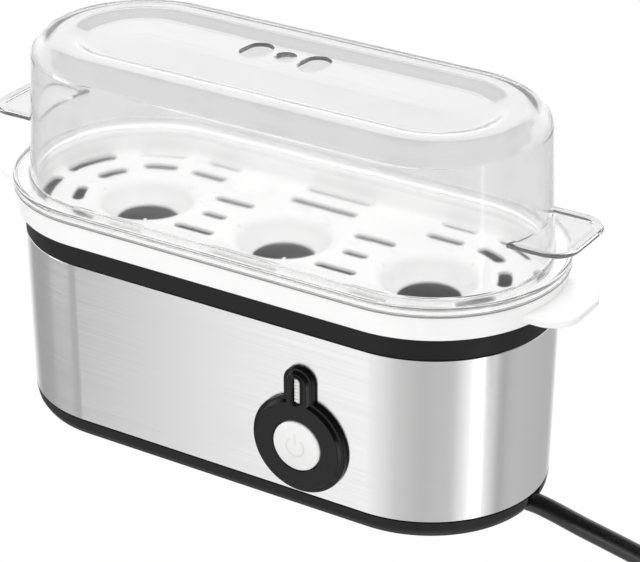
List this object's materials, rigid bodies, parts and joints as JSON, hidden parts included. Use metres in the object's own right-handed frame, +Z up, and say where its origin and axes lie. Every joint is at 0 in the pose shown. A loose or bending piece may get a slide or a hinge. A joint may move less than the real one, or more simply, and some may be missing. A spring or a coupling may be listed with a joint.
{
  "type": "egg cooker",
  "caption": "Oblong steel-clad electric egg cooker with a push button, a white egg tray with cups and steam slots, and a clear lid.",
  "frame": {"origin": "on the surface it stands on, under the middle of the body", "axes": "+X along the body towards the end where the cord leaves, -Y towards the push button, +Z up"},
  "size_m": [0.4434, 0.1403, 0.1535],
  "materials": {
    "black_plastic": "semi-gloss moulded",
    "black_gloss": "glossy moulded",
    "brushed_steel": "brushed along its length",
    "coated_aluminium": "matt pressed",
    "silicone": "matt",
    "rubber": "matt",
    "zinc_plate": "plated",
    "heater_steel": "heat-tinted",
    "thermostat_steel": "pressed",
    "milky_lens": "translucent gloss",
    "lamp_glass": "clear",
    "white_button": "gloss",
    "switch_plastic": "matt",
    "brown_lead": "satin",
    "blue_lead": "satin",
    "earth_lead": "satin",
    "white_plastic": "satin gloss moulded",
    "clear_plastic": "clear polished",
    "cord_jacket": "satin",
    "plug_plastic": "satin moulded",
    "plug_pin": "nickel plated"
  },
  "bodies": {
    "root": {"base_shell": "black_plastic", "upper_housing": "black_plastic", "bezel": "black_gloss", "steel_sleeve": "brushed_steel", "heating_bowl": "coated_aluminium", "bowl_seal": "silicone", "foot_1": "rubber", "foot_2": "rubber", "foot_3": "rubber", "foot_4": "rubber", "base_screw_1": "zinc_plate", "base_screw_2": "zinc_plate", "base_screw_3": "zinc_plate", "base_screw_4": "zinc_plate", "heater_tube": "heater_steel", "heater_clip_right": "zinc_plate", "heater_clip_left": "zinc_plate", "thermostat": "thermostat_steel", "thermal_fuse": "thermostat_steel", "indicator_lens": "milky_lens", "indicator_lamp": "lamp_glass", "switch_body": "switch_plastic", "switch_bracket": "zinc_plate", "strain_relief": "cord_jacket", "cord_clamp": "black_plastic", "clamp_screw_1": "zinc_plate", "clamp_screw_2": "zinc_plate", "lead_live": "brown_lead", "lead_switched": "brown_lead", "lead_fuse": "brown_lead", "lead_neutral": "blue_lead", "lead_earth": "earth_lead", "cord_run": "cord_jacket", "cord_coil": "cord_jacket", "cord_tail": "cord_jacket", "plug_body": "plug_plastic", "plug_pin_1": "plug_pin", "plug_pin_2": "plug_pin"},
    "button": {"power_button": "white_button", "switch_plunger": "switch_plastic"},
    "tray": {"egg_tray": "white_plastic"},
    "lid": {"lid": "clear_plastic"}
  },
  "joints": [
    {"name": "button_press", "type": "slide", "parent": "root", "child": "button", "axis": [0, 0.9999, 0.0149], "range_m": [0, 0.0025], "stiffness_N_per_m": 900, "springref_m": -0.0008},
    {"name": "tray_lift", "type": "slide", "parent": "root", "child": "tray", "axis": [0, 0, 1], "range_m": [0, 0.04]},
    {"name": "lid_lift", "type": "slide", "parent": "tray", "child": "lid", "axis": [0, 0, 1], "range_m": [0, 0.08]}
  ]
}
